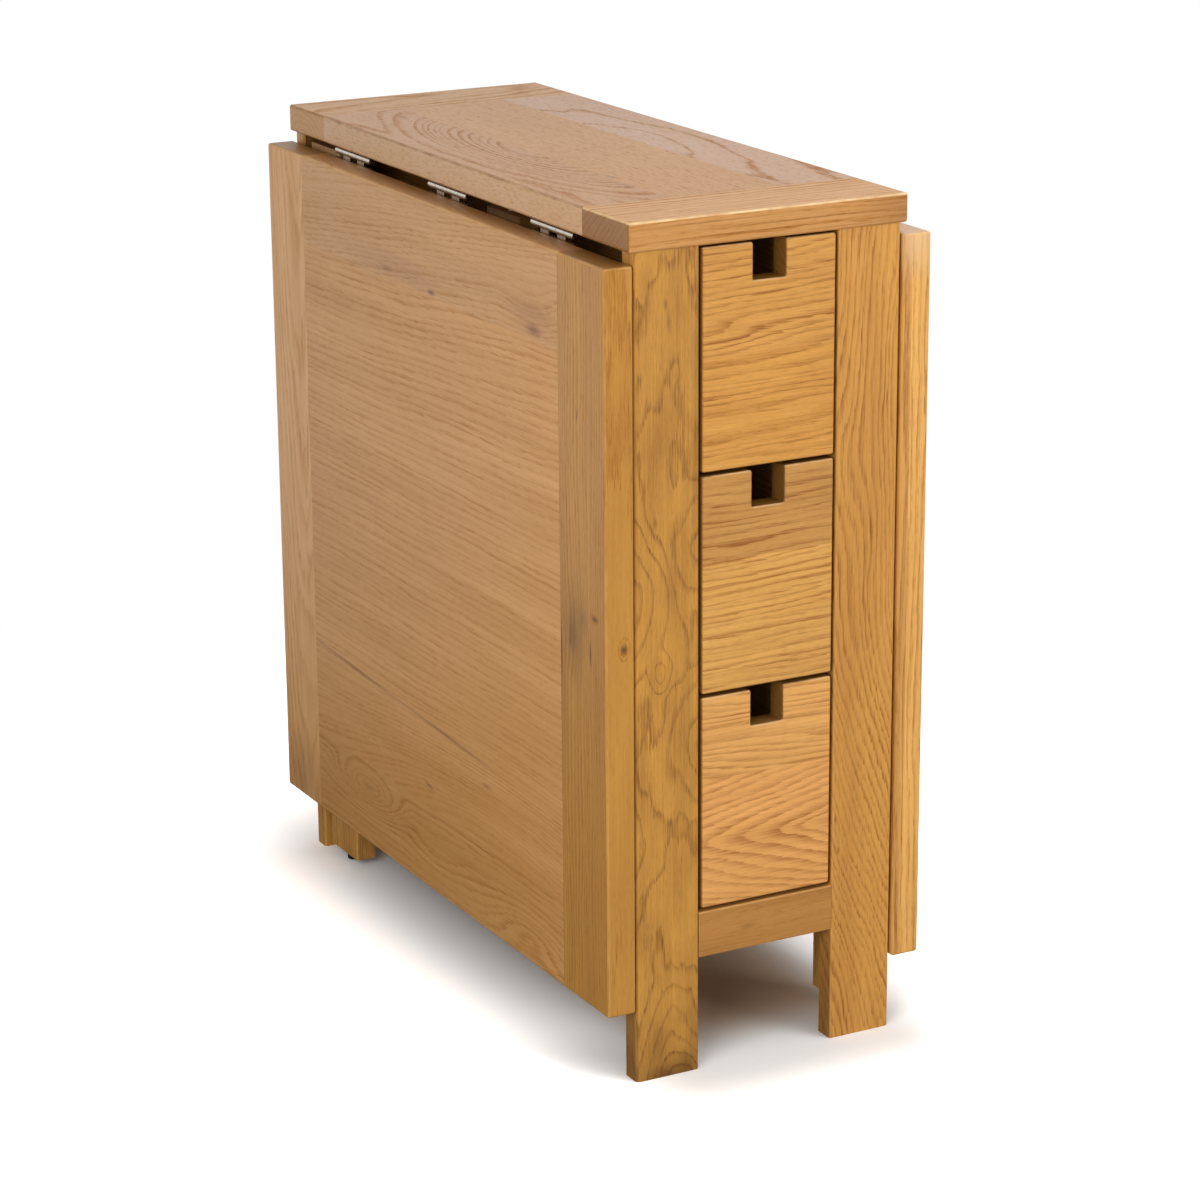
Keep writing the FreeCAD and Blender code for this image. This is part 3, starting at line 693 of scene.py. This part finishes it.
@dataclass
class Carcase:
    """The base: posts, rails, panels, runners, pivot blocks and dowels."""

    post_left: Cut = Cut(
        Axis.Z, Axis.X, wave=0.5, seed=21.0, planks=(
            Plank((400, -97, -2000), 10.0, lean=0.3, late="#C1893B", early="#8F5B25", share=0.4, swells=(
                Swell(366, -103, 26, 15, 2.2), Swell(430, -136, 100, 60, 4.0, -15.0),
                Swell(300, -54, 90, 56, -3.5), Swell(478, -56, 70, 50, -3.0), Swell(215, -142, 80, 56, 1.6),
                Swell(-16, -84, 130, 58, 6.5), Swell(36, -72, 60, 30, -1.2, 20.0))),),
        marks=(Mark(0, -92, 80, 60, 0.3), Mark(-4, -92, 34, 40, 0.5), Mark(2, -102, 13, 24, 0.6),
               Mark(20, -127.5, 75, 3.5, 0.4), Mark(30, -106, 30, 14, 0.3), Mark(4, -78, 24, 14, 0.5),
               Mark(52, -80, 12, 16, 0.2), Mark(665, -95, 14, 4, 0.35), Mark(680, -98, 8, 3, 0.5),
               Mark(497, -108, 8, 3, 0.5), Mark(560, -70, 170, 5, 0.35), Mark(232, -94, 6, 3, 0.5),
               Mark(345, -78, 50, 9, 0.25)))
    post_right: Cut = Cut(
        Axis.Z, Axis.X, wave=1.1, seed=22.0, planks=(
            Plank((300, -260, -150), 5.2, turn=0.6, late="#CF9344", early="#A26526", swells=(
                Swell(-60, 97, 480, 2000, -24.0), Swell(560, 130, 200, 45, 1.5),
                Swell(545, 60, 140, 36, 3.2))),),
        # The last mark is painted shade low on the post's inner face.
        marks=(Mark(205, 70, 7, 2, 0.6), Mark(176, 73, 5, 2, 0.6), Mark(0, 66.5, 150, 2.5, 0.55)))
    rail: Cut = Cut(
        Axis.X, Axis.Z, seed=23.0, marks=(Mark(-18, 124, 12, 4, 0.35),),
        planks=(Plank((0, -160, -210), 8.0, turn=3.0, late="#B67F3E", early="#AB7638"),))
    # Painted shade on each rear post's front face near its head, in the gate leg's shadow.
    painted_gap_shade: Mark = Mark(720, 0, 60, 900, 0.9, 0.0, 316, 7)
    shade: tuple[str, str] = ("#9A6A32", "#7C5224")
    pegs: tuple[str, str] = ("#D9B184", "#C0925F")
    pair_seed: float = 24.0

    def dress(self) -> None:
        """Dresses every piece of the base."""
        dress("post_front_left", SWIRLED.material("post_front_left", self.post_left))
        dress("post_front_right", HONEY.material("post_front_right", self.post_right))
        dress("rail_front", HONEY.material("rail_front", self.rail))
        dress("rail_rear", HONEY.material("rail_rear", straight(Axis.X, Axis.Z, seed=32.0)))
        for number, side in enumerate(Side):
            seed = self.pair_seed + number
            name = f"post_rear_{side.value}"
            post = replace(straight(Axis.Z, Axis.X, seed), marks=(self.painted_gap_shade,))
            dress(name, HONEY.material(name, post))
            name = f"rail_long_{side.value}"
            dress(name, HONEY.material(name, straight(Axis.Y, Axis.Z, seed + 2)))
            name = f"side_panel_{side.value}"
            dress(name, INSIDE.material(name, straight(Axis.Y, Axis.Z, seed + 4, *self.shade)))
        dress("rear_panel", HONEY.material("rear_panel", straight(Axis.Z, Axis.X, seed=33.0)))
        runners = straight(Axis.Y, Axis.Z, 34.0, *self.shade)
        dress("drawer_runners", INSIDE.material("drawer_runners", runners))
        dress("pivot_blocks", HONEY.material("pivot_blocks", straight(Axis.Y, Axis.Z, seed=35.0)))
        dress("dowels_top", BEECH.material("dowels_top", straight(Axis.Z, Axis.X, 36.0, *self.pegs)))
        dress("dowels_rails", BEECH.material("dowels_rails", straight(Axis.X, Axis.Z, 37.0, *self.pegs)))


@dataclass
class Leaf:
    """A hinged leaf: a panel of three glued planks between two end boards, hanging at rest."""

    side: Side
    panel: Cut = Cut(
        Axis.Y, Axis.Z, wave=0.35, seed=4.4, planks=(
            Plank((0, -320, 0), 8.5, late="#D29954", early="#B3732E", swells=(
                Swell(146, 119, 112, 33, 6.0), Swell(-10, 105, 90, 30, 1.5), Swell(-190, 95, 120, 36, -2.5))),
            Plank((0, -700, 300), 6.4, start=147.0, late="#D89D59", early="#C48643", swells=(
                Swell(-120, 150, 420, 110, -9.0), Swell(-320, 640, 590, 220, -5.0))),
            Plank((0, -500, 500), 4.6, start=632.0, turn=-6.5, late="#D39C60", early="#C2894B", swells=(
                Swell(-225, 655, 90, 45, 2.5),))),
        marks=(Mark(143, 124, 22, 6, 0.3), Mark(-18, 636, 12, 4, 0.75), Mark(-215, 641, 20, 8, 0.6),
               Mark(75, 641, 18, 4, 0.4), Mark(50, 646, 160, 18, 0.22), Mark(-215, 652, 70, 22, 0.2),
               Mark(-120, 660, 170, 22, 0.1), Mark(8, 168, 14, 3, 0.6, 10.0), Mark(-112, 205, 14, 3, 0.45),
               Mark(165, 236, 150, 3.2, 0.5, 2.6), Mark(-30, 228, 150, 3.2, 0.5, 2.6),
               # The last mark is painted shade along the leaf's top edge, falling towards the gap under the
               # top.
               Mark(-100, 716, 700, 6, 0.55, 0.0, -140, 26)))
    front_end: Cut = Cut(
        Axis.Z, Axis.Y, seed=41.0, planks=(
            Plank((380, -820, -150), 5.1, late="#C0883A", early="#A96D25", swells=(
                Swell(393, -340, 17, 14, 2.0, 0.0, -139, 9), Swell(400, -286, 60, 26, 1.2))),),
        marks=(Mark(396, -284, 64, 28, 0.42), Mark(394, -280, 26, 12, 0.4), Mark(412, -300, 20, 12, 0.3),
               Mark(417, -320, 5, 9, 0.85), Mark(385, -312, 18, 3.5, 0.75), Mark(585, -291, 9, 2.5, 0.6),
               Mark(374, -259, 48, 4, 0.85), Mark(380, -262, 300, 10, 0.12),
               # The last mark is painted shade on the board's top end, falling towards the gap under the top.
               Mark(393, -340, 7.5, 8, 0.95, 0.0, -139, 5.5), Mark(716, -300, 6, 90, 0.6, 0.0, -140, 26)))
    rear_end: Cut = Cut(
        Axis.Z, Axis.Y, seed=42.0,
        planks=(Plank((700, 276, -136), 5.5, lean=4.6, late="#E8AF6D", early="#D0914D"),),
        marks=(Mark(84, 305, 70, 60, 0.35), Mark(425, 266, 24, 3, 0.3), Mark(446, 275, 12, 3, 0.25, 30.0),
               Mark(318, 270, 12, 8, 0.3), Mark(385, 270, 10, 7, 0.2)))
    far_panel: Cut = Cut(
        Axis.Y, Axis.Z, wave=0.4, seed=7.9, planks=(
            Plank((0, -420, -60), 6.0, turn=1.0, late="#D99F5B", early="#C0813E"),
            Plank((0, 420, 520), 7.0, start=236.0, late="#D29954", early="#B3732E", swells=(
                Swell(60, 330, 420, 90, 7.0),)),
            Plank((0, 1200, 300), 5.5, start=512.0, turn=-1.0, late="#D59E62", early="#BF8547")),
        marks=(Mark(-120, 602, 16, 5, 0.6), Mark(180, 190, 60, 3.5, 0.4, 3.0)))
    far_front_end: Cut = Cut(
        # Its one mark is painted light on the board's head.
        Axis.Z, Axis.X, seed=43.0, marks=(Mark(712, 142, 45, 60, 0.55),), planks=(
            Plank((0, -300, -500), 5.0, late="#D49A50", early="#AF7434"),
            Plank((0, -180, -500), 5.0, start=137.5, late="#E7AD5C", early="#C68A43")))

    def dress(self) -> None:
        """Dresses the leaf's boards."""
        name = f"leaf_panel_{self.side.value}"
        dress(name, PANEL.material(name, self.panel if self.side is Side.LEFT else self.far_panel))
        name = f"leaf_end_front_{self.side.value}"
        if self.side is Side.LEFT:
            dress(name, HONEY.material(name, self.front_end))
        else:
            dress(name, PAINTED_LIGHT_END.material(name, self.far_front_end))
        name = f"leaf_end_rear_{self.side.value}"
        dress(name, PANEL.material(name, self.rear_end))


@dataclass
class Gate:
    """A swinging gate: leg, pivot stile and two rails, on a glide. The stile's head is painted shade and the
    leg's head is drawn grey.
    """

    side: Side
    # The head mark: painted shade on the stile, in the gap under the top, and grey on the leg.
    head: Mark = Mark(722, 0, 36, 900, 0.95)
    leg_greying: float = 0.8

    def dress(self) -> None:
        """Dresses the gate's boards and its glide."""
        name = f"gate_leg_{self.side.value}"
        leg = replace(straight(Axis.Z, Axis.Y, seed=51.0), marks=(replace(self.head, height=self.leg_greying),))
        dress(name, GREY_HEADED.material(name, leg))
        name = f"gate_stile_{self.side.value}"
        stile = replace(straight(Axis.Z, Axis.Y, seed=52.0), marks=(self.head,))
        dress(name, SHADED_STILE_HEAD.material(name, stile))
        for part, seed in (("low", 53.0), ("high", 54.0)):
            name = f"gate_rail_{part}_{self.side.value}"
            dress(name, HONEY.material(name, straight(Axis.Y, Axis.Z, seed)))
        dress(f"gate_glide_{self.side.value}", GLIDE.material())


@dataclass
class Drawer:
    """A drawer: an oak front with a finger notch, and a plain box behind it."""

    level: Level
    bottom_front: Cut = Cut(
        Axis.X, Axis.Z, wave=0.7, seed=61.0, shaded_rim=True, planks=(
            Plank((0, 206, -329), 7.5, late="#E5A65D", early="#B06D2F", share=0.75, swells=(
                Swell(-250, 207, 500, 4000, 9.0),)),
            Plank((0, 60, -190), 6.0, start=264.0, turn=-3.0, late="#E2A65C", early="#AA682A", share=0.75)))
    middle_front: Cut = Cut(
        Axis.X, Axis.Z, wave=0.7, seed=66.0, shaded_rim=True, planks=(
            Plank((0, 180, -150), 4.6, turn=2.0, late="#DBA455", early="#A96C2D"),
            Plank((0, 220, -160), 5.2, start=402.0, turn=2.5, late="#D79F51", early="#9F5E21", share=0.6),
            Plank((0, 230, -90), 5.6, start=456.0, turn=-1.0, late="#C6904B", early="#975C25", share=0.6)))
    top_front: Cut = Cut(
        Axis.X, Axis.Z, wave=0.9, seed=71.0, shaded_rim=True, planks=(
            Plank((0, 380, -120), 6.2, turn=1.0, late="#D39746", early="#AA6D2B"),
            Plank((0, 420, -130), 5.4, start=630.0, turn=3.0, late="#D19648", early="#9A591D", share=0.6)))
    bare: tuple[str, str] = ("#E2BC82", "#C8985C")

    def dress(self) -> None:
        """Dresses the drawer's front and box."""
        stem = f"drawer_{self.level.value}"
        cut = dict(zip(Level, (self.bottom_front, self.middle_front, self.top_front)))[self.level]
        finish = BROAD if self.level is Level.BOTTOM else CROWN
        dress(f"{stem}_front", finish.material(f"{stem}_front", cut))
        for part, along in (("side_left", Axis.Y), ("side_right", Axis.Y), ("back", Axis.X)):
            board = straight(along, Axis.Z, cut.seed + 1, *self.bare)
            dress(f"{stem}_{part}", PINE.material(f"{stem}_{part}", board))
        board = straight(Axis.Y, Axis.X, cut.seed + 2, *self.bare)
        dress(f"{stem}_bottom", PINE.material(f"{stem}_bottom", board))


@dataclass
class Ironwork:
    """The hinges, their screws, and the gates' pivots."""

    plated: tuple[str, ...] = ("hinge_plates_top", "hinge_pins", "hinge_screws_top")

    def dress(self) -> None:
        """Dresses the metal and nylon pieces."""
        nickel = NICKEL.material()
        for name in self.plated:
            dress(name, nickel)
        for side in Side:
            dress(f"hinge_plates_leaf_{side.value}", nickel)
            dress(f"hinge_screws_leaf_{side.value}", nickel)
        dress("pivot_pins", STEEL.material())
        dress("pivot_washers", NYLON.material())


@dataclass
class Studio:
    """The pale floor, the soft lights, the white surround and the camera, in metres.

    To the camera the paper carries painted shade besides the table's real shadow: warm and dark under
    the table like light bounced off the wood, paler round that, and white further out. Each shaded oblong
    has a middle and half sizes, and each reach is how far from it a change starts and ends. The lacquer
    shows the white of the far floor and the surround, but little of what lies ahead of the table.
    """

    floor_half: float = 6.0
    # Painted shade: warm and dark under the table, and near white round it.
    floor_painted_shade: str = "#E7CBB1"
    floor_under: str = "#FFFEFC"
    # The lit paper is shown this many times brighter than the light on it makes it, so it comes out white.
    floor_gain: float = 3.4
    # How much light the paper gives back in a reflection, and to the table.
    floor_sheen: float = 0.25
    floor_bounce: float = 0.4
    deep_shade: tuple[Point, Point] = ((0.03, 0.0, 0.0), (0.055, 0.235, 0.0))
    shade: tuple[Point, Point] = ((0.02, -0.03, 0.0), (0.09, 0.32, 0.0))
    deep_reach: Span = (0.0, 0.08)
    shade_reach: Span = (0.0, 0.19)
    white_reach: Span = (0.35, 0.9)
    sheen_reach: Span = (0.1, 1.6)
    unlit_front: Span = (-1.0, -0.1)
    unlit_ahead: Span = (-0.6, 0.2)
    front_sheen: float = 0.05
    surround: float = 0.25
    # Each softbox has a name, a place, a width in metres and a power in watts.
    lamps: tuple[tuple[str, Point, float, float], ...] = (
        ("key_softbox", (1.4, -2.3, 0.85), 1.3, 24.5),
        ("fill_softbox", (-1.7, -1.5, 1.05), 1.3, 28.0),
        ("top_softbox", (0.7, -1.2, 2.4), 1.6, 21.0))
    lamp_aim: Point = (0.0, 0.0, 0.4)
    # The angles are in radians, the focal length in pixels of the photograph, and the sensor in millimetres.
    eye: Point = (-1.5147, -2.8798, 1.32)
    yaw: float = 0.4895
    pitch: float = -0.2967
    roll: float = -0.0073
    focal: float = 3671.1
    sensor: float = 36.0

    def build(self) -> None:
        """Builds the floor, the lights and the camera."""
        self.build_floor()
        self.build_surround()
        for lamp in self.lamps:
            self.build_lamp(*lamp)
        self.build_camera()

    def seen_straight(self, tree: Nodes) -> Socket:
        """Tells rays that show the floor itself from those that light the table by it.

        Args:
            tree: the nodes that take the test.

        Returns:
            1 for camera, glossy and transmission rays, else 0.
        """
        path = put(tree, LIGHT_PATH).outputs
        seen = path["Is Camera Ray"]
        for ray in ("Is Glossy Ray", "Is Transmission Ray"):
            seen = put(tree, MATH, {0: seen, 1: path[ray]}, operation="MAXIMUM").outputs[0]
        return seen

    def build_floor(self) -> None:
        """Lays the floor: matt white paper that keeps the table's shadow."""
        half = self.floor_half
        corners = [(-half, -half, 0), (half, -half, 0), (half, half, 0), (-half, half, 0)]
        mesh = bpy.data.meshes.new("floor")
        mesh.from_pydata(corners, [], [(0, 1, 2, 3)])
        floor = bpy.data.objects.new("floor", mesh)
        bpy.context.scene.collection.objects.link(floor)
        mesh.materials.append(self.paper())
        log.info("floor laid")

    def paper(self) -> bpy.types.Material:
        """Makes the floor's paper.

        Returns:
            The finished material.
        """
        material, tree = blank_material("matt_white_paper")
        seen = self.seen_straight(tree)
        place = put(tree, COORDS).outputs["Object"]
        away = []
        for middle, reach in (self.deep_shade, self.shade):
            spot = put(tree, VECTOR, {0: place, 1: middle}, operation="SUBTRACT").outputs[0]
            spot = put(tree, VECTOR, {0: spot}, operation="ABSOLUTE").outputs[0]
            spot = put(tree, VECTOR, {0: spot, 1: reach}, operation="SUBTRACT").outputs[0]
            spot = put(tree, VECTOR, {0: spot, 1: (0.0, 0.0, 0.0)}, operation="MAXIMUM").outputs[0]
            away.append(put(tree, VECTOR, {0: spot}, operation="LENGTH").outputs["Value"])
        deep, wide = away
        near_by, around, white, sheen = [
            put(tree, RANGE, {0: distance, 1: near, 2: far}, interpolation_type="SMOOTHSTEP").outputs[0]
            for distance, (near, far) in ((deep, self.deep_reach), (wide, self.shade_reach),
                                          (wide, self.white_reach), (wide, self.sheen_reach))]
        ahead = put(tree, SPLIT, {0: place}).outputs[1]
        near, far = self.unlit_front
        ahead = put(tree, RANGE, {0: ahead, 1: near, 2: far, 3: self.front_sheen}).outputs[0]
        sheen = put(tree, MATH, {0: sheen, 1: ahead}, operation="MULTIPLY").outputs[0]
        camera = put(tree, LIGHT_PATH).outputs["Is Camera Ray"]
        level = put(tree, RANGE, {0: seen, 3: self.floor_bounce, 4: self.floor_sheen}).outputs[0]
        colour = put(tree, "ShaderNodeCombineColor", {0: level, 1: level, 2: level}).outputs[0]
        lit = (self.floor_gain, self.floor_gain, self.floor_gain, 1.0)
        shown = put(tree, MIX, {0: near_by, 6: linear(self.floor_painted_shade), 7: linear(self.floor_under)},
                    data_type="RGBA").outputs[2]
        shown = put(tree, MIX, {0: around, 6: shown, 7: lit}, data_type="RGBA").outputs[2]
        colour = put(tree, MIX, {0: camera, 6: colour, 7: shown}, data_type="RGBA").outputs[2]
        matt = put(tree, "ShaderNodeBsdfDiffuse", {"Color": colour})
        fade = put(tree, MIX, {0: camera, 2: sheen, 3: white}).outputs[0]
        fade = put(tree, MATH, {0: fade, 1: seen}, operation="MULTIPLY").outputs[0]
        glow = put(tree, "ShaderNodeEmission", {"Color": linear("#FFFFFF"), "Strength": 1.0})
        mixed = put(tree, "ShaderNodeMixShader", {0: fade, 1: matt.outputs[0], 2: glow.outputs[0]})
        put(tree, OUTPUT, {"Surface": mixed.outputs[0]})
        return material

    def build_surround(self) -> None:
        """Hangs the white surround, which lights the table softly and looks dim in the lacquer from ahead."""
        world = bpy.data.worlds.new("white_surround")
        world.use_nodes = True
        tree = world.node_tree
        tree.nodes.clear()
        path = put(tree, LIGHT_PATH).outputs
        ahead = put(tree, SPLIT, {0: put(tree, COORDS).outputs["Generated"]}).outputs[1]
        near, far = self.unlit_ahead
        ahead = put(tree, RANGE, {0: ahead, 1: near, 2: far, 3: self.front_sheen}).outputs[0]
        level = put(tree, MIX, {0: path["Is Glossy Ray"], 2: self.surround, 3: ahead}).outputs[0]
        shown = {0: path["Is Camera Ray"], 1: path["Is Transmission Ray"]}
        shown = put(tree, MATH, shown, operation="MAXIMUM").outputs[0]
        level = put(tree, MIX, {0: shown, 2: level, 3: 1.0}).outputs[0]
        glow = put(tree, "ShaderNodeBackground", {"Color": linear("#FFFFFF"), "Strength": level})
        put(tree, "ShaderNodeOutputWorld", {"Surface": glow.outputs[0]})
        bpy.context.scene.world = world
        log.info("surround hung")

    def build_lamp(self, name: str, place: Point, side: float, power: float) -> None:
        """Hangs a square softbox that faces the middle of the table and leaves no highlight in the lacquer.

        Args:
            name: the lamp's name.
            place: where it hangs, in metres.
            side: how wide it is, in metres.
            power: its power in watts.
        """
        lamp = bpy.data.lights.new(name, "AREA")
        lamp.size = side
        lamp.energy = power
        box = bpy.data.objects.new(name, lamp)
        box.location = place
        box.rotation_euler = (Vector(self.lamp_aim) - Vector(place)).to_track_quat("-Z", "Y").to_euler()
        box.visible_glossy = False
        bpy.context.scene.collection.objects.link(box)
        log.info("%s hung", name)

    def build_camera(self) -> None:
        """Stands the camera where the photograph was taken."""
        level = math.cos(self.pitch)
        look = Vector((math.sin(self.yaw) * level, math.cos(self.yaw) * level, math.sin(self.pitch)))
        right = Vector((math.cos(self.yaw), -math.sin(self.yaw), 0.0))
        up = right.cross(look)
        turn, tip = math.cos(self.roll), math.sin(self.roll)
        right, up = turn * right + tip * up, turn * up - tip * right
        lens = bpy.data.cameras.new("camera")
        lens.sensor_width = self.sensor
        lens.lens = self.focal / IMAGE_SIDE * self.sensor
        camera = bpy.data.objects.new("camera", lens)
        camera.matrix_world = Matrix((right, up, -look)).transposed().to_4x4()
        camera.location = self.eye
        bpy.context.scene.collection.objects.link(camera)
        bpy.context.scene.camera = camera
        log.info("camera stands")


def main() -> None:
    """Dresses the table piece by piece and sets up the studio."""
    logging.basicConfig(level=logging.INFO, format="%(message)s")
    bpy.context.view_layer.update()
    bpy.context.scene.view_settings.view_transform = "Standard"
    FixedTop().dress()
    Carcase().dress()
    for side in Side:
        Leaf(side).dress()
        Gate(side).dress()
    for level in Level:
        Drawer(level).dress()
    Ironwork().dress()
    Studio().build()


if __name__ == "__main__":
    main()
